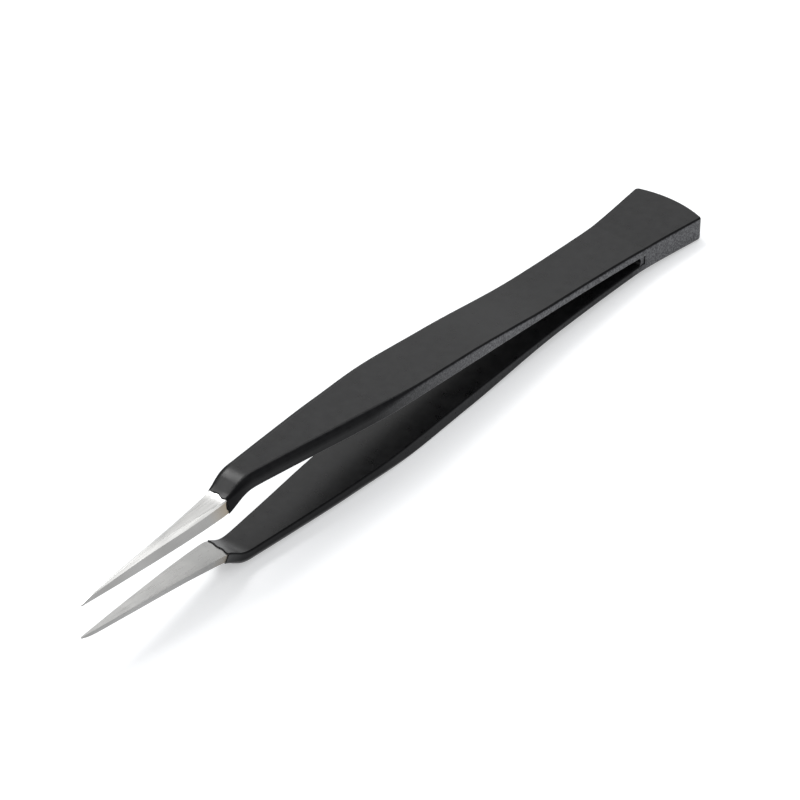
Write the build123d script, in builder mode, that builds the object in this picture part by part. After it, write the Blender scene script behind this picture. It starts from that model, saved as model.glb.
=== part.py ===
from build123d import *
import math
import os

# Fine-pointed tweezers: two stainless arms welded to a spacer at the rear, dipped in epoxy up to the neck.
# They are drawn about the middle of the gap, with the points at zero and +X towards the rear,
# and laid on their side at the end. All sizes are in millimetres.

# Places along the tweezers, measured from the points
overall_length = 130.0  # of the steel
spacer_length = 12.5
swell_at = 4.5          # where the needle point swells into the blade
facet_at = 12.0         # where the flat on the back of the blade begins
heel_at = 18.0          # thickest place of the blade
knee_at = 27.3          # where the blade starts to step outwards
step_end_at = 31.3      # where the step starts to level out
crest_at = 32.5         # widest place of the gap
shoulder_at = 38.0      # where the flanks of the grip become straight
flank_end_at = 55.0     # where the flanks start to round over
grip_at = 61.0          # widest place of the grip
bevel_end_at = 67.0     # where the bevel of the grip has run out
heavy_end_at = 78.0     # last of the heavy stock
root_at = overall_length - spacer_length
waist_at = (heavy_end_at + root_at) / 2     # narrowest and first thin place of the springs
flare_at = root_at - 3.5                    # where the rear starts to flare
end_bow = 1.1           # how far the rear end bows out between its corners
end_corner_radius = 0.5

# Widths of the steel seen from above
point_width = 0.16
swell_width = 0.94
facet_width = 2.1
knee_width = 4.24
crest_width = 4.62
shoulder_width = 5.56
flank_end_width = 8.5
grip_width = 9.06
heavy_end_width = 8.64
waist_width = 8.34
flare_width = 8.85
rear_width = 11.8

# Gap between the inner faces of the steel, at rest
point_gap = 5.2
facet_gap = 5.46
knee_gap = 6.76
step_end_gap = 10.3
crest_gap = 10.7
shoulder_gap = 10.36
grip_gap = 7.9
heavy_end_gap = 5.76
waist_gap = 3.54
flare_gap = 1.9
spacer_thickness = 1.6

# Thickness of the steel
point_thickness = 0.24
swell_thickness = 1.1
heel_thickness = 1.95
neck_thickness = 1.73
grip_thickness = 1.85
heavy_end_thickness = 1.7
spring_thickness = 0.88

# Bevels on the outer edges, and how far the sides of the blades lean in
point_bevel = 0.03
facet_bevel = 0.86
heel_bevel = 1.05
grip_bevel = 0.55
edge_break = 0.1
facet_lean = 0.44
blade_lean = 0.52

# Epoxy coat
coat_thickness = 0.2
inner_edge_radius = 0.22
upper_dip_at = 28.1     # mean place of the dip line on the upper arm
lower_dip_at = 28.4
upper_dip_slope = 0.1   # how much the dip line leans across the arm
lower_dip_slope = 0.22
dip_wave = 0.12         # half the height of the small waves in the dip line
dip_wavelength = 2.0
root_pool = 1.4         # how far epoxy has pooled in front of the spacer
pool_hollow = 0.4       # how deep its front is dished

section_pitch = 4.4     # spacing of the sections that the arms are lofted through


def smooth(stations):
    """A curve through (place, size) stations that never swings past them."""
    spans = list(zip(stations, stations[1:]))
    slopes = [(high[1] - low[1]) / (high[0] - low[0]) for low, high in spans]
    tangents = [slopes[0]]
    for before, after in zip(slopes, slopes[1:]):
        tangents.append(2 * before * after / (before + after) if before * after > 0 else 0)
    tangents.append(slopes[-1])

    def curve(place):
        inside = [i for i, (low, high) in enumerate(spans) if place >= low[0]]
        i = inside[-1] if inside else 0
        (low_at, low), (high_at, high) = spans[i]
        span = high_at - low_at
        t = (place - low_at) / span
        rise = t * t * (3 - 2 * t)
        leave = t * (1 - t) ** 2 * span * tangents[i]
        arrive = t * t * (t - 1) * span * tangents[i + 1]
        return low + (high - low) * rise + leave + arrive

    return curve


width = smooth([
    (0, point_width),
    (swell_at, swell_width),
    (facet_at, facet_width),
    (knee_at, knee_width),
    (crest_at, crest_width),
    (shoulder_at, shoulder_width),
    (flank_end_at, flank_end_width),
    (grip_at, grip_width),
    (heavy_end_at, heavy_end_width),
    (waist_at, waist_width),
    (flare_at, flare_width),
    (overall_length, rear_width),
])
gap = smooth([
    (0, point_gap),
    (facet_at, facet_gap),
    (knee_at, knee_gap),
    (step_end_at, step_end_gap),
    (crest_at, crest_gap),
    (shoulder_at, shoulder_gap),
    (grip_at, grip_gap),
    (heavy_end_at, heavy_end_gap),
    (waist_at, waist_gap),
    (flare_at, flare_gap),
    (root_at, spacer_thickness),
    (overall_length, spacer_thickness),
])
thickness = smooth([
    (0, point_thickness),
    (swell_at, swell_thickness),
    (heel_at, heel_thickness),
    (crest_at, neck_thickness),
    (grip_at, grip_thickness),
    (heavy_end_at, heavy_end_thickness),
    (waist_at, spring_thickness),
    (overall_length, spring_thickness),
])
bevel = smooth([
    (0, point_bevel),
    (facet_at, facet_bevel),
    (heel_at, heel_bevel),
    (crest_at, grip_bevel),
    (flank_end_at, grip_bevel),
    (bevel_end_at, edge_break),
    (overall_length, edge_break),
])
lean = smooth([
    (0, point_bevel / 2),
    (facet_at, facet_lean),
    (heel_at, blade_lean),
    (knee_at, blade_lean),
    (crest_at, 0),
    (overall_length, 0),
])


def evenly_spaced(start, end, pitch):
    """Places from start to end, no more than one pitch apart."""
    count = math.ceil((end - start) / pitch)
    return [start + (end - start) * i / count for i in range(count + 1)]


def arm_places(start, end):
    """Places of the sections of an arm, with close ones round the step."""
    close = evenly_spaced(knee_at - 2, shoulder_at, section_pitch / 3)
    places = evenly_spaced(start, close[0], section_pitch)[:-1] if start < close[0] else []
    places += [place for place in close if place >= start]
    return places + evenly_spaced(close[-1], end, section_pitch)[1:]


def arm_corners(place):
    """Corners of the upper arm's section: across the arm, and up from the middle of the gap."""
    half = width(place) / 2
    inner = gap(place) / 2
    outer = inner + thickness(place)
    flat = half - bevel(place)
    shoulder = half - lean(place)
    shoulder_height = outer - (shoulder - flat)
    near_side = [(half, inner), (shoulder, shoulder_height), (flat, outer)]
    return near_side + [(-across, up) for across, up in reversed(near_side)]


def rear_outline(start, grow):
    """The rear block seen from above, from start to its bowed end, grown by the coat or not."""
    corner_at = overall_length - end_bow + grow
    places = evenly_spaced(start, corner_at, section_pitch)
    with BuildSketch() as outline:
        with BuildLine():
            flank = Spline(*[(place, width(place) / 2 + grow) for place in places])
            opposite = mirror(flank, about=Plane.XZ)
            ThreePointArc(flank @ 1, (overall_length + grow, 0), opposite @ 1)
            Line(flank @ 0, opposite @ 0)
        make_face()
        fillet(outline.vertices().group_by(Axis.X)[-1], end_corner_radius + grow)
    return outline.sketch


def coat_rounding(place):
    """Radius of the coat over a beveled edge, as thick over the middle of the bevel as on the flats."""
    return coat_thickness + (bevel(place) - lean(place)) * (1 + math.sqrt(0.5))


def coat_corners(place):
    """Corners of the coat round the upper arm before they are rounded."""
    height = thickness(place) + 2 * coat_thickness
    base = width(place) / 2 + coat_thickness
    lean_rate = lean(place) / (thickness(place) - (bevel(place) - lean(place)))
    back = base - lean_rate * height
    low = gap(place) / 2 - coat_thickness
    return [(base, low), (back, low + height), (-back, low + height), (-base, low)]


block_outline = rear_outline(root_at, 0)

# Rear of the upper arm: the slab that is welded to the spacer
with BuildPart() as slab_form:
    with BuildSketch(Plane.XY.offset(spacer_thickness / 2)):
        add(block_outline)
    extrude(amount=spring_thickness)
    slab_back = slab_form.faces().sort_by(Axis.Z)[-1]
    chamfer(slab_back.edges().sort_by(Axis.X)[1:], edge_break)

# Upper arm: needle point, blade, step, heavy grip and thin spring, then the slab
with BuildPart() as arm_form:
    for place in arm_places(0, root_at):
        with BuildSketch(Plane.YZ.offset(place)):
            Polygon(*arm_corners(place), align=None)
    loft()
    add(slab_form.part)

# Lower arm: the mirror image of the upper one
with BuildPart() as lower_arm_form:
    mirror(arm_form.part, about=Plane.XY)

# Spacer that holds the arms apart at the rear
with BuildPart() as spacer_form:
    with BuildSketch():
        add(block_outline)
    extrude(amount=spacer_thickness / 2, both=True)

# Outside of the coat round the upper arm, up to the rear block
coat_root_at = root_at - coat_thickness
with BuildPart() as sleeve_form:
    for place in arm_places(knee_at - 2, coat_root_at):
        with BuildSketch(Plane.YZ.offset(place)) as sleeve_section:
            Polygon(*coat_corners(place), align=None)
            fillet(sleeve_section.vertices().sort_by(Axis.Y)[2:], coat_rounding(place))
            fillet(sleeve_section.vertices().sort_by(Axis.Y)[:2], inner_edge_radius)
    loft()

# Outside of the coat round the rear block
with BuildPart() as coat_block_form:
    with BuildSketch():
        add(rear_outline(coat_root_at, coat_thickness))
    extrude(amount=spacer_thickness / 2 + spring_thickness + coat_thickness, both=True)
    rims = coat_block_form.faces().filter_by(Axis.Z).edges()
    rim_radius = coat_rounding(overall_length)
    fillet(rims.filter_by(lambda rim: rim.center().X > coat_root_at + rim_radius), rim_radius)

# Epoxy that has pooled in the root of the gap
with BuildPart() as pool_form:
    with BuildSketch(Plane.XZ):
        pool_at = root_at - root_pool
        pool_half = spacer_thickness / 2
        with BuildLine():
            front = ThreePointArc((pool_at, pool_half), (pool_at + pool_hollow, 0), (pool_at, -pool_half))
            Polyline(front @ 1, (root_at, -pool_half), (root_at, pool_half), front @ 0)
        make_face()
    extrude(amount=width(root_at - root_pool) / 2 + coat_thickness / 2, both=True)


def behind_dip_line(mean_at, slope, phase, up):
    """Everything above or below the middle plane that lies behind the dip line of that arm."""
    reach = grip_width
    waves = []
    for across in evenly_spaced(-reach, reach, dip_wavelength / 4):
        wave = dip_wave * math.sin(2 * math.pi * (across / dip_wavelength + phase))
        waves.append((mean_at + slope * across + wave, across))
    with BuildPart() as kept:
        with BuildSketch():
            with BuildLine():
                edge = Spline(*waves)
                Polyline(edge @ 1, (2 * overall_length, reach), (2 * overall_length, -reach), edge @ 0)
            make_face()
        extrude(amount=up * 2 * grip_width)
    return kept.part


# Outside of the coat round each arm, trimmed at its dip line
with BuildPart() as upper_sleeve_form:
    add(sleeve_form.part)
    add(behind_dip_line(upper_dip_at, upper_dip_slope, 0.15, 1), mode=Mode.INTERSECT)
with BuildPart() as lower_sleeve_form:
    mirror(sleeve_form.part, about=Plane.XY)
    add(behind_dip_line(lower_dip_at, lower_dip_slope, 0.62, -1), mode=Mode.INTERSECT)

# Epoxy coat: one skin over both arms and the block, with the steel taken out of it
with BuildPart() as coat_form:
    add(upper_sleeve_form.part)
    add(lower_sleeve_form.part)
    add(coat_block_form.part)
    add(pool_form.part)
    add([arm_form.part, lower_arm_form.part, spacer_form.part], mode=Mode.SUBTRACT)

# At rest the tweezers touch the table with the belly of the lower grip and the rear edge


def coat_back(place):
    return gap(place) / 2 + thickness(place) + coat_thickness


grip_places = evenly_spaced(shoulder_at, waist_at, 0.5)
rest_slope = max((coat_back(p) - coat_back(overall_length)) / (overall_length - p) for p in grip_places)
rest_angle = math.degrees(math.atan(rest_slope))
turn = Rot(Y=rest_angle)
turned = [turn * form.part for form in (arm_form, lower_arm_form, coat_form)]
boxes = [form.bounding_box() for form in turned]
front = min(box.min.X for box in boxes)
rear = max(box.max.X for box in boxes)
bottom = min(box.min.Z for box in boxes)
lay = Pos(-(front + rear) / 2, 0, -bottom) * turn


def laid_down(form):
    with BuildPart() as laid:
        with Locations(lay):
            add(form.part)
    return laid


upper_arm = laid_down(arm_form)
lower_arm = laid_down(lower_arm_form)
rear_spacer = laid_down(spacer_form)
epoxy_coating = laid_down(coat_form)

os.makedirs("parts", exist_ok=True)
upper_arm.part.label = "upper_arm"
export_step(upper_arm.part, "parts/upper_arm.step")
lower_arm.part.label = "lower_arm"
export_step(lower_arm.part, "parts/lower_arm.step")
rear_spacer.part.label = "rear_spacer"
export_step(rear_spacer.part, "parts/rear_spacer.step")
epoxy_coating.part.label = "epoxy_coating"
export_step(epoxy_coating.part, "parts/epoxy_coating.step")
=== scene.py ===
# %% [markdown]
# Fine-point tweezers: two arms that look like stainless steel, in what looks like a black epoxy coat.
# The shapes come packed from the CAD model, already in place and in metres, so this script loads them
# and never moves them. What is left is what a camera sees: the finishes, the ragged lip of the coat,
# the light and the view.

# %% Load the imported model
import math

import bmesh
import bpy
from mathutils import Matrix, Vector


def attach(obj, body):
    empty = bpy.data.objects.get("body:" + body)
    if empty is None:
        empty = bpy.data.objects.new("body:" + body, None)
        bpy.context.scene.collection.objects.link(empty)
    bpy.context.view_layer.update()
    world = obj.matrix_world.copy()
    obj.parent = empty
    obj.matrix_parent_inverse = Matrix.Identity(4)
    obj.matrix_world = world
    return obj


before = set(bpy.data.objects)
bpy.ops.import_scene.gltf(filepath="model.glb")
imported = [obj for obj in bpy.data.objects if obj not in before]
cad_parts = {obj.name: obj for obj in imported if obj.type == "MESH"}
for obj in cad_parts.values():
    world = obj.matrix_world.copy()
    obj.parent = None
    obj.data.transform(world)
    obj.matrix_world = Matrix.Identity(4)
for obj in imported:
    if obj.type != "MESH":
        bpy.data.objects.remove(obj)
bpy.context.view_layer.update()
arms = {"upper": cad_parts["upper_arm"], "lower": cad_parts["lower_arm"]}
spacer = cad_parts["rear_spacer"]
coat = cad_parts["epoxy_coating"]
scene = bpy.context.scene
mm = 0.001

# %% [markdown]
# The tweezers lie on the back of one arm, so their middle plane leans down towards the rear.
# It is handy to think of them along that plane, with x counted from the points. One matrix takes
# such a place to the table. The alternative, working out each place on the table by hand, would
# hide which numbers belong to the tweezers and which to how they lie. The angle and the place of the
# points are the CAD model's own.

# %% From the middle plane to the table
lie_angle = math.radians(3.4175)
points_at = Vector((-64.945, 0, 9.626)) * mm
lie = Matrix.Translation(points_at) @ Matrix.Rotation(lie_angle, 4, "Y")
half_length = 65 * mm
middle = lie @ Vector((half_length, 0, 0))
print("middle of the tweezers", tuple(round(v / mm, 2) for v in middle))

# %% [markdown]
# The camera looks at the tweezers from the photograph's side, down from the left of the points. Its
# angles come from fitting the outline of the tweezers to the photograph. How far away it stood can't be
# told as well, so a long lens a metre away is the likeliest fit and not a measure. Building the three
# axes of the camera directly is clearer here than a Track To constraint, which can't give the small
# roll.

# %% Direction of view
view_azimuth = math.radians(50.28)
view_elevation = math.radians(38.28)
view_roll = math.radians(0.94)

level = math.cos(view_elevation)
drop = math.sin(view_elevation)
forward = Vector((math.sin(view_azimuth) * level, math.cos(view_azimuth) * level, -drop))
side = Vector((math.cos(view_azimuth), -math.sin(view_azimuth), 0))
upward = side.cross(forward)
right = side * math.cos(view_roll) - upward * math.sin(view_roll)
up = right.cross(forward)
print("view direction", tuple(round(v, 3) for v in forward))

# %% Camera
view_distance = 1.0
aim = Vector((1.4, -0.78, 6.54)) * mm

camera_data = bpy.data.cameras.new("photo_camera")
camera_data.sensor_width = 36
camera_data.lens = 323.3
camera_data.clip_start = 0.05
camera = bpy.data.objects.new("photo_camera", camera_data)
turn = Matrix((right, up, -forward)).transposed().to_4x4()
camera.matrix_world = Matrix.Translation(aim - forward * view_distance) @ turn
scene.collection.objects.link(camera)
scene.camera = camera
print("camera stands at", tuple(round(v, 3) for v in camera.matrix_world.translation))

# %% [markdown]
# Light, floor and finishes are all made of nodes. Adding and joining them takes the same few
# lines each time, so two helpers do it: one makes a node with its values and links, and one does sums
# on sockets and numbers alike. The nodes could be made by hand in the editor, but a script shows
# every value in one place.

# %% Helpers for nodes


def node(tree, kind, links=None, **settings):
    """A new node with its properties and inputs set, and the given inputs linked."""
    made = tree.nodes.new(kind)
    for name, value in settings.items():
        if name in made.inputs:
            made.inputs[name].default_value = value
        else:
            setattr(made, name, value)
    for socket, source in (links or {}).items():
        tree.links.new(source, made.inputs[socket])
    return made


def calculate(tree, operation, *values):
    """The result of a Math node on sockets or plain numbers."""
    made = node(tree, "ShaderNodeMath", operation=operation)
    for socket, value in zip(made.inputs, values):
        if isinstance(value, (int, float)):
            socket.default_value = value
        else:
            tree.links.new(value, socket)
    return made.outputs[0]


# %% [markdown]
# A product on white: the world is a white tent. What the camera sees of it, directly or in the
# metal, is plain white, while the light that it gives to matt surfaces is set by itself. The Light Path
# node tells those rays apart. Raising the light until the background burns out would be simpler, but
# then the steel would burn out too.

# %% World


def seen_ray(tree):
    """One for rays that show what they hit: from the camera, off something glossy or through glass."""
    path = node(tree, "ShaderNodeLightPath").outputs
    seen_or_mirrored = calculate(tree, "MAXIMUM", path["Is Camera Ray"], path["Is Glossy Ray"])
    return calculate(tree, "MAXIMUM", seen_or_mirrored, path["Is Transmission Ray"])


scene.view_settings.view_transform = "Standard"
white = (1, 1, 1, 1)
cool_white = (0.93, 0.96, 1, 1)
tent_light = 0.55

world = bpy.data.worlds.new("white_tent")
scene.world = world
world.use_nodes = True
tree = world.node_tree
tree.nodes.clear()
tent = node(tree, "ShaderNodeBackground", Color=cool_white, Strength=tent_light)
backdrop = node(tree, "ShaderNodeBackground", Color=white, Strength=1.0)
choose = node(tree, "ShaderNodeMixShader", {0: seen_ray(tree), 1: tent.outputs[0], 2: backdrop.outputs[0]})
node(tree, "ShaderNodeOutputWorld", {"Surface": choose.outputs[0]})
print("tent gives", tent_light, "to matt surfaces")

# %% [markdown]
# The floor is white paper. Lit at a plain level it would look light grey, so it gets a glow of its own
# for the same rays that see the tent. The glow is added to the paper, and doesn't replace it: so the
# shadow of the tweezers stays, which is what tells that they lie on something. In the open the two
# together come to plain white.

# %% Floor sheet
reach = 3.0
floor_corners = [(-reach, -reach, 0), (reach, -reach, 0), (reach, reach, 0), (-reach, reach, 0)]
floor_mesh = bpy.data.meshes.new("floor")
floor_mesh.from_pydata(floor_corners, [], [(0, 1, 2, 3)])
floor = bpy.data.objects.new("floor", floor_mesh)
scene.collection.objects.link(floor)
print("floor", 2 * reach, "m wide")

# %% Floor look
floor_glow = 0.38
paper_white = (0.8, 0.8, 0.8, 1)

floor_look = bpy.data.materials.new("white_floor")
floor_look.use_nodes = True
tree = floor_look.node_tree
tree.nodes.clear()
paper = node(tree, "ShaderNodeBsdfDiffuse", Color=paper_white)
glow = node(tree, "ShaderNodeEmission", Color=white, Strength=floor_glow)
no_glow = node(tree, "ShaderNodeEmission", Strength=0.0)
gate = node(tree, "ShaderNodeMixShader", {0: seen_ray(tree), 1: no_glow.outputs[0], 2: glow.outputs[0]})
both = node(tree, "ShaderNodeAddShader", {0: paper.outputs[0], 1: gate.outputs[0]})
node(tree, "ShaderNodeOutputMaterial", {"Surface": both.outputs[0]})
floor_mesh.materials.append(floor_look)
print("floor glow", floor_glow)

# %% [markdown]
# Three soft lamps shape the metal. The wide one hangs high behind the tweezers, where the backs of the
# blades mirror it towards the camera. A smaller one further back shows in the bend of the neck, and one
# low at the front right shows in the slanting bevels of the points. A sun or a spot would make hard
# glints instead. The one for the bend is by far the brightest, and steel that mirrors it burns out to
# plain white beside the coat.

# %% Lamps


def softbox(name, place, size, radiance, target):
    """A square area lamp that faces its target, given by how bright its face looks."""
    lamp_data = bpy.data.lights.new(name, "AREA")
    lamp_data.size = size
    lamp_data.energy = radiance * math.pi * size * size
    lamp = bpy.data.objects.new(name, lamp_data)
    direction = target - Vector(place)
    turned = direction.to_track_quat("-Z", "Y").to_matrix().to_4x4()
    lamp.matrix_world = Matrix.Translation(place) @ turned
    scene.collection.objects.link(lamp)
    print(name, "radiance", radiance, "power", round(lamp_data.energy, 2), "W")


neck_top = lie @ Vector((29 * mm, 0, 6 * mm))
softbox("overhead_softbox", place=(0.38, 0.30, 1.05), size=0.9, radiance=1.6, target=middle)
softbox("bend_softbox", place=(0.17, 0.56, 0.95), size=0.42, radiance=8.0, target=neck_top)
softbox("front_softbox", place=(0.57, -0.62, 0.5), size=0.32, radiance=3.0, target=neck_top)

# %% [markdown]
# Both finishes vary over the surface. Noise on Object coordinates does that without a UV map, and it
# stays on the piece when the piece moves. A ramp turns the noise into the range that a colour or a
# roughness needs.

# %% Helpers for finishes


def new_look(name):
    """An empty material with its output and a Principled shader linked."""
    look = bpy.data.materials.new(name)
    look.use_nodes = True
    tree = look.node_tree
    tree.nodes.clear()
    shader = node(tree, "ShaderNodeBsdfPrincipled")
    node(tree, "ShaderNodeOutputMaterial", {"Surface": shader.outputs[0]})
    return look, tree, shader


def place_on_object(tree):
    """Where a point lies on the piece, in metres."""
    return node(tree, "ShaderNodeTexCoord").outputs["Object"]


def noise_on_object(tree, scale, detail, stretch=(1, 1, 1), roughness=0.5):
    """Noise on Object coordinates, stretched by the three factors."""
    mapping = node(tree, "ShaderNodeMapping", {"Vector": place_on_object(tree)}, Scale=stretch)
    links = {"Vector": mapping.outputs[0]}
    noise = node(tree, "ShaderNodeTexNoise", links, Scale=scale, Detail=detail, Roughness=roughness)
    return noise.outputs["Fac"]


def ramp(tree, source, low, high, from_low=0.3, from_high=0.7):
    """A number that goes from low to high as the source goes between two levels."""
    made = node(tree, "ShaderNodeMapRange", {"Value": source})
    made.inputs["From Min"].default_value = from_low
    made.inputs["From Max"].default_value = from_high
    made.inputs["To Min"].default_value = low
    made.inputs["To Max"].default_value = high
    return made.outputs[0]


def blend(tree, factor, low, high):
    """A colour between two colours, each a plain value or a socket."""
    made = node(tree, "ShaderNodeMix", {"Factor": factor}, data_type="RGBA")
    first_colour, second_colour = made.inputs[6], made.inputs[7]
    for socket, colour in ((first_colour, low), (second_colour, high)):
        if isinstance(colour, tuple):
            socket.default_value = colour
        else:
            tree.links.new(colour, socket)
    return made.outputs[2]


def bumps(tree, shader, *layers):
    """Bump layers of (height, strength, distance), each on top of the one before."""
    links = {}
    for height, strength, distance in layers:
        links["Height"] = height
        made = node(tree, "ShaderNodeBump", links, Strength=strength, Distance=distance)
        links = {"Normal": made.outputs[0]}
    tree.links.new(links["Normal"], shader.inputs["Normal"])


# %% [markdown]
# Some looks are given to one part of a piece only, such as the sides of the blades. Painting a mask
# would need a UV map. Here the part is told by where a point lies, or by the way its surface faces. The
# second is only safe because these pieces never turn.

# %% Helpers that tell where


def along(tree):
    """Place along the table from front to rear, in metres from the middle."""
    return node(tree, "ShaderNodeSeparateXYZ", {0: place_on_object(tree)}).outputs["X"]


def above_middle(tree):
    """Height above the middle plane of the tweezers, in metres."""
    offset = node(tree, "ShaderNodeVectorMath", {0: place_on_object(tree)}, operation="SUBTRACT")
    offset.inputs[1].default_value = points_at
    height = node(tree, "ShaderNodeVectorMath", {0: offset.outputs[0]}, operation="DOT_PRODUCT")
    height.inputs[1].default_value = (math.sin(lie_angle), 0, math.cos(lie_angle))
    return height.outputs["Value"]


def facing(tree):
    """The three parts of the direction that the surface faces."""
    surface = node(tree, "ShaderNodeNewGeometry")
    return node(tree, "ShaderNodeSeparateXYZ", {0: surface.outputs["Normal"]}).outputs


def sideways(tree, low, high):
    """One where the surface faces sideways, falling to nothing between two levels."""
    return ramp(tree, calculate(tree, "ABSOLUTE", facing(tree)["Y"]), 0, 1, low, high)


def from_points(tree, start, end, most=1):
    """Grows from nothing to its most between two places, counted in millimetres from the points."""
    return ramp(tree, along(tree), 0, most, points_at.x + start * mm, points_at.x + end * mm)


# %% [markdown]
# The bare points look like stainless steel, ground along their length. Noise that is drawn out along
# the blade gives the grinding lines, and drives the roughness and a very low bump. An image of scratches
# would need a UV map, and at this scale noise looks the same.
# Two masks follow the photograph and not the metal. The sides of the blades get a darker steel than the
# backs: painted reflection, since on real steel that darkness comes from what the sides mirror. Next to
# the coat the painted dark sides turn brownish. How much of that is colour and how much is reflection
# can't be told from one photograph, so under other light it may look wrong.

# %% Ground stainless steel
steel, tree, shader = new_look("ground_stainless_steel")
shader.inputs["Metallic"].default_value = 1.0
along_blade = (0.035, 1, 1)
grinding = noise_on_object(tree, scale=2600, detail=3, stretch=along_blade, roughness=0.55)
cloud = ramp(tree, noise_on_object(tree, scale=160, detail=2), low=0, high=1)

back_steel = blend(tree, cloud, (0.35, 0.35, 0.345, 1), (0.41, 0.408, 0.40, 1))
# Painted reflection: the sides of the blades get a darker steel than the backs.
painted_dark_side_steel = blend(tree, cloud, (0.29, 0.287, 0.28, 1), (0.35, 0.347, 0.34, 1))
brown = (0.27, 0.22, 0.15, 1)
near_coat = from_points(tree, start=24.5, end=28.5, most=0.8)
# Next to the coat the painted dark sides turn brownish.
painted_dark_side_brownish = blend(tree, near_coat, painted_dark_side_steel, brown)
steel_colour = blend(tree, sideways(tree, low=0.78, high=0.9), back_steel, painted_dark_side_brownish)
tree.links.new(steel_colour, shader.inputs["Base Color"])
tree.links.new(ramp(tree, grinding, low=0.24, high=0.36), shader.inputs["Roughness"])
bumps(tree, shader, (grinding, 0.12, 0.01 * mm))

steel_pieces = (*arms.values(), spacer)
for piece in steel_pieces:
    piece.data.materials.clear()
    piece.data.materials.append(steel)
print("steel on", [piece.name for piece in steel_pieces])

# %% [markdown]
# The coat looks like black epoxy: satin, with the faint orange peel of a thick paint. Two sizes of noise
# do it, a broad one for the peel and a fine one for the satin grain.
# In the photograph the backs carry an even sheen, the upper edges and the sides of the grips are nearly
# black, and the lower edges catch a thin line of light. That is most likely how the light fell, and the
# real coat is probably as glossy all round. These lamps and edges don't give the same, so here the
# specular level changes with the way the surface faces. It is fitted to this view, and may look wrong
# in others. The exported model loses it, because the export drops a linked specular level.

# %% Satin black epoxy: sheen
epoxy, tree, shader = new_look("satin_black_epoxy")
peel = noise_on_object(tree, scale=700, detail=2)
grain = noise_on_object(tree, scale=9000, detail=2)

on_side = sideways(tree, low=0.75, high=0.97)
on_edge = sideways(tree, low=0.1, high=0.35)
back_shine = ramp(tree, on_edge, low=0.21, high=0.0, from_low=0, from_high=1)
side_shine = ramp(tree, on_side, low=0.02, high=0.08, from_low=0, from_high=1)
facing_down = ramp(tree, facing(tree)["Z"], low=0.45, high=0, from_low=-0.6, from_high=-0.1)
lower_edge_shine = calculate(tree, "MULTIPLY", facing_down, on_edge)
upper_shine = calculate(tree, "ADD", back_shine, side_shine)
shine = calculate(tree, "ADD", upper_shine, lower_edge_shine)
tree.links.new(shine, shader.inputs["Specular IOR Level"])
tree.links.new(ramp(tree, peel, low=0.27, high=0.34), shader.inputs["Roughness"])
bumps(tree, shader, (peel, 0.12, 0.05 * mm), (grain, 0.15, 0.006 * mm))
print("sheen of", epoxy.name)

# %% [markdown]
# In the photograph the sides of the upper spring and of the rear block look grey, and lightest at their
# lower edges, while the side of the lower spring looks dark down to a thin light edge. The arms are
# taken as mirror images with one coat, so this is most likely light as well. A matt grey is painted in
# for that light here, more even and more speckled than in the photograph. A matt grey stands in for it
# here, more even and more speckled than in the photograph. Three things tell together where the painted
# light goes: the surface faces sideways, it lies behind the grip, and on the springs it lies above the
# middle plane. Cutting it out as a piece of its own would leave a seam.

# %% Satin black epoxy: colour
behind_grip = from_points(tree, start=56, end=80)
at_block = from_points(tree, start=113, end=118)
lower_arm_share = 0.15
plane_blur = 0.2 * mm
on_upper_arm = ramp(tree, above_middle(tree), lower_arm_share, 1, -plane_blur, plane_blur)
on_upper_spring = calculate(tree, "MULTIPLY", behind_grip, on_upper_arm)
painted_light_reach = calculate(tree, "MAXIMUM", on_upper_spring, at_block)
# Where the painted light lies on the sides of the coat.
painted_light_side = calculate(tree, "MULTIPLY", on_side, painted_light_reach)

specks = noise_on_object(tree, scale=3500, detail=4, roughness=0.7)
speckle = ramp(tree, specks, low=0, high=1, from_low=0.4, from_high=0.62)
# Painted light: a speckled matt grey for the lit sides.
painted_light_grey = blend(tree, speckle, (0.06, 0.06, 0.063, 1), (0.18, 0.18, 0.185, 1))
peel_shade = ramp(tree, peel, low=0, high=1)
black = blend(tree, peel_shade, (0.006, 0.006, 0.0065, 1), (0.010, 0.010, 0.0105, 1))
tree.links.new(blend(tree, painted_light_side, black, painted_light_grey), shader.inputs["Base Color"])
coat.data.materials.clear()
coat.data.materials.append(epoxy)
print("epoxy on", coat.name)

# %% [markdown]
# In the photograph the coat ends in a ragged edge round each arm, as if it had been dipped. The solid
# coat ends there in a smooth wave, so a small ragged lip is laid along it. The lip follows a path on a
# surface, so Geometry Nodes make it: a loop is drawn round the arm at the dip line, pulled onto the
# steel, roughened with noise and given a round section. Modelling it by hand would work too, but the
# tree keeps its sizes as inputs, and both arms share it.

# %% Inputs of the lip
lip_tree = bpy.data.node_groups.new("dip_lip", "GeometryNodeTree")
lip_tree.interface.new_socket(name="Geometry", in_out="OUTPUT", socket_type="NodeSocketGeometry")
lip_inputs = {
    "Arm": "NodeSocketObject",
    "Dip line": "NodeSocketFloat",
    "Slope": "NodeSocketFloat",
    "Wave phase": "NodeSocketFloat",
    "Middle height": "NodeSocketFloat",
    "Half width": "NodeSocketFloat",
    "Half height": "NodeSocketFloat",
    "Bead radius": "NodeSocketFloat",
    "Raggedness": "NodeSocketFloat",
    "Seed": "NodeSocketFloat",
    "Material": "NodeSocketMaterial",
}
socket_ids = {}
for name, kind in lip_inputs.items():
    made = lip_tree.interface.new_socket(name=name, in_out="INPUT", socket_type=kind)
    socket_ids[name] = made.identifier
given = node(lip_tree, "NodeGroupInput").outputs
print("inputs of the lip", list(socket_ids))

# %% [markdown]
# The loop starts as a circle of radius one, seen from the points. Each of its points is moved to its
# place across the arm and up, and along the arm by the dip line: a mean place, a slope across the
# arm and a small wave. A curve drawn by hand would do as well, but its points would have to be moved
# one by one to change a size.

# %% Loop at the dip line
wave_height = 0.12 * mm
wave_length = 2.0 * mm

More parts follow.
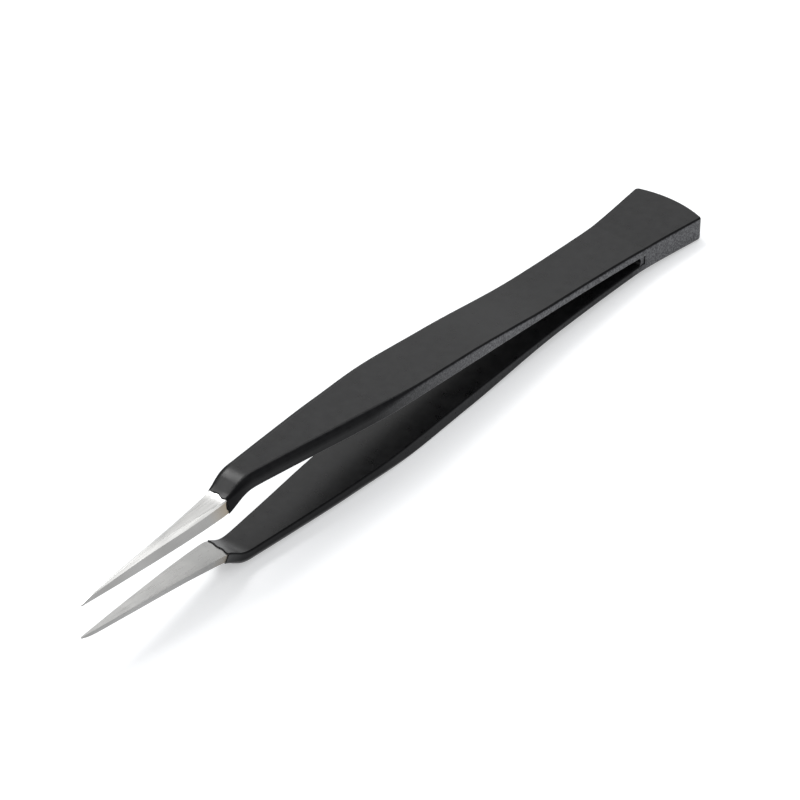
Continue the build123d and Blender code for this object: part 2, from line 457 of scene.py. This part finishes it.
loop = node(lip_tree, "GeometryNodeCurvePrimitiveCircle", Resolution=160, Radius=1.0)
where = node(lip_tree, "GeometryNodeInputPosition")
round_loop = node(lip_tree, "ShaderNodeSeparateXYZ", {0: where.outputs[0]}).outputs
across = calculate(lip_tree, "MULTIPLY", round_loop["X"], given["Half width"])
rise = calculate(lip_tree, "MULTIPLY", round_loop["Y"], given["Half height"])
height = calculate(lip_tree, "ADD", rise, given["Middle height"])
waves = calculate(lip_tree, "ADD", calculate(lip_tree, "DIVIDE", across, wave_length), given["Wave phase"])
sine = calculate(lip_tree, "SINE", calculate(lip_tree, "MULTIPLY", waves, 2 * math.pi))
sloped = calculate(lip_tree, "MULTIPLY", across, given["Slope"])
straight_line = calculate(lip_tree, "ADD", sloped, given["Dip line"])
wavy_line = calculate(lip_tree, "ADD", straight_line, calculate(lip_tree, "MULTIPLY", sine, wave_height))
loop_place = node(lip_tree, "ShaderNodeCombineXYZ", {"X": wavy_line, "Y": across, "Z": height})
loop_links = {"Geometry": loop.outputs[0], "Position": loop_place.outputs[0]}
drawn = node(lip_tree, "GeometryNodeSetPosition", loop_links)
print("waves", round(wave_height / mm, 2), "mm high,", wave_length / mm, "mm long")

# %% [markdown]
# The loop was drawn along the middle plane, so it is first laid down like the tweezers. Then Geometry
# Proximity finds the nearest point of the steel for each of its points. A Shrinkwrap modifier does the
# same for a mesh, but this is still a curve.

# %% Loop pulled onto the steel
laid_links = {"Geometry": drawn.outputs[0]}
laid = node(lip_tree, "GeometryNodeTransform", laid_links, Translation=points_at, Rotation=(0, lie_angle, 0))
arm = node(lip_tree, "GeometryNodeObjectInfo", {"Object": given["Arm"]})
nearest = node(lip_tree, "GeometryNodeProximity", {0: arm.outputs["Geometry"]}, target_element="FACES")
wrap_links = {"Geometry": laid.outputs[0], "Position": nearest.outputs["Position"]}
wrapped = node(lip_tree, "GeometryNodeSetPosition", wrap_links)
loop_points = 420
even = node(lip_tree, "GeometryNodeResampleCurve", {"Curve": wrapped.outputs[0]}, Count=loop_points)
print("loop on the steel has", loop_points, "even points")

# %% [markdown]
# The edge of the coat isn't an even line. Noise shifts the loop forwards and back, and a finer noise
# makes the bead thicker and thinner. Both take the same seed, so each arm has an edge of its own that
# comes out the same every time. Sculpting the bead would do too, but it couldn't be run again.

# %% Ragged bead


def lip_noise(scale):
    """Noise from minus a half to a half at each point."""
    links = {"Vector": node(lip_tree, "GeometryNodeInputPosition").outputs[0], "W": given["Seed"]}
    noise = node(lip_tree, "ShaderNodeTexNoise", links, noise_dimensions="4D", Scale=scale, Detail=2.0)
    return calculate(lip_tree, "SUBTRACT", noise.outputs[0], 0.5)


forwards = calculate(lip_tree, "MULTIPLY", lip_noise(scale=1300), given["Raggedness"])
shift = node(lip_tree, "ShaderNodeCombineXYZ", {"X": forwards})
ragged_links = {"Geometry": even.outputs[0], "Offset": shift.outputs[0]}
ragged = node(lip_tree, "GeometryNodeSetPosition", ragged_links)

section = node(lip_tree, "GeometryNodeCurvePrimitiveCircle", {"Radius": given["Bead radius"]}, Resolution=10)
bead_links = {"Curve": ragged.outputs[0], "Profile Curve": section.outputs[0]}
bead = node(lip_tree, "GeometryNodeCurveToMesh", bead_links)

thicker = calculate(lip_tree, "MULTIPLY", lip_noise(scale=2600), given["Bead radius"])
outwards = node(lip_tree, "GeometryNodeInputNormal")
swell_links = {0: outwards.outputs[0], "Scale": thicker}
swell = node(lip_tree, "ShaderNodeVectorMath", swell_links, operation="SCALE")
uneven_links = {"Geometry": bead.outputs[0], "Offset": swell.outputs[0]}
uneven = node(lip_tree, "GeometryNodeSetPosition", uneven_links)

smooth = node(lip_tree, "GeometryNodeSetShadeSmooth", {0: uneven.outputs[0]})
solid = node(lip_tree, "GeometryNodeRealizeInstances", {0: smooth.outputs[0]})
paint_links = {"Geometry": solid.outputs[0], "Material": given["Material"]}
painted = node(lip_tree, "GeometryNodeSetMaterial", paint_links)
node(lip_tree, "NodeGroupOutput", {"Geometry": painted.outputs[0]})
print("dip_lip tree has", len(lip_tree.nodes), "nodes")

# %% [markdown]
# The tree runs once for each arm, and what it makes is kept as a plain mesh, because a modifier would
# not survive the export. The two arms share the size of the neck and differ in the place of the dip
# line. A bead swept along a loop can come out inside out, so its faces are turned outwards.

# %% Lips on both arms


def make_lip(name, sizes):
    """Run the tree once and keep what it makes as a plain mesh."""
    host = bpy.data.objects.new(name + "_host", bpy.data.meshes.new(name + "_host"))
    scene.collection.objects.link(host)
    modifier = host.modifiers.new("dip_lip", "NODES")
    modifier.node_group = lip_tree
    for title, value in sizes.items():
        modifier[socket_ids[title]] = value
    evaluated = host.evaluated_get(bpy.context.evaluated_depsgraph_get())
    mesh = bpy.data.meshes.new_from_object(evaluated)
    host.modifiers.remove(modifier)
    bpy.data.objects.remove(host)
    volume = turn_outwards(mesh)
    piece = bpy.data.objects.new(name, mesh)
    scene.collection.objects.link(piece)
    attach(piece, "root")
    print(name, len(mesh.polygons), "faces, volume", round(volume / mm ** 3, 3), "mm3")


def turn_outwards(mesh):
    """Make all faces of a closed mesh point outwards, and give its volume."""
    working = bmesh.new()
    working.from_mesh(mesh)
    bmesh.ops.recalc_face_normals(working, faces=working.faces)
    volume = working.calc_volume(signed=True)
    if volume < 0:
        bmesh.ops.reverse_faces(working, faces=working.faces)
    working.to_mesh(mesh)
    working.free()
    return abs(volume)


neck = {
    "Half width": 2.55 * mm,
    "Half height": 1.3 * mm,
    "Bead radius": 0.12 * mm,
    "Raggedness": 0.5 * mm,
    "Material": epoxy,
}
middle_height = 4.6 * mm
upper_line = {"Dip line": 28.1 * mm, "Slope": 0.1, "Wave phase": 0.15, "Middle height": middle_height}
lower_line = {"Dip line": 28.45 * mm, "Slope": 0.22, "Wave phase": 0.62, "Middle height": -middle_height}
make_lip("upper_dip_lip", {**neck, **upper_line, "Arm": arms["upper"], "Seed": 3.0})
make_lip("lower_dip_lip", {**neck, **lower_line, "Arm": arms["lower"], "Seed": 8.0})
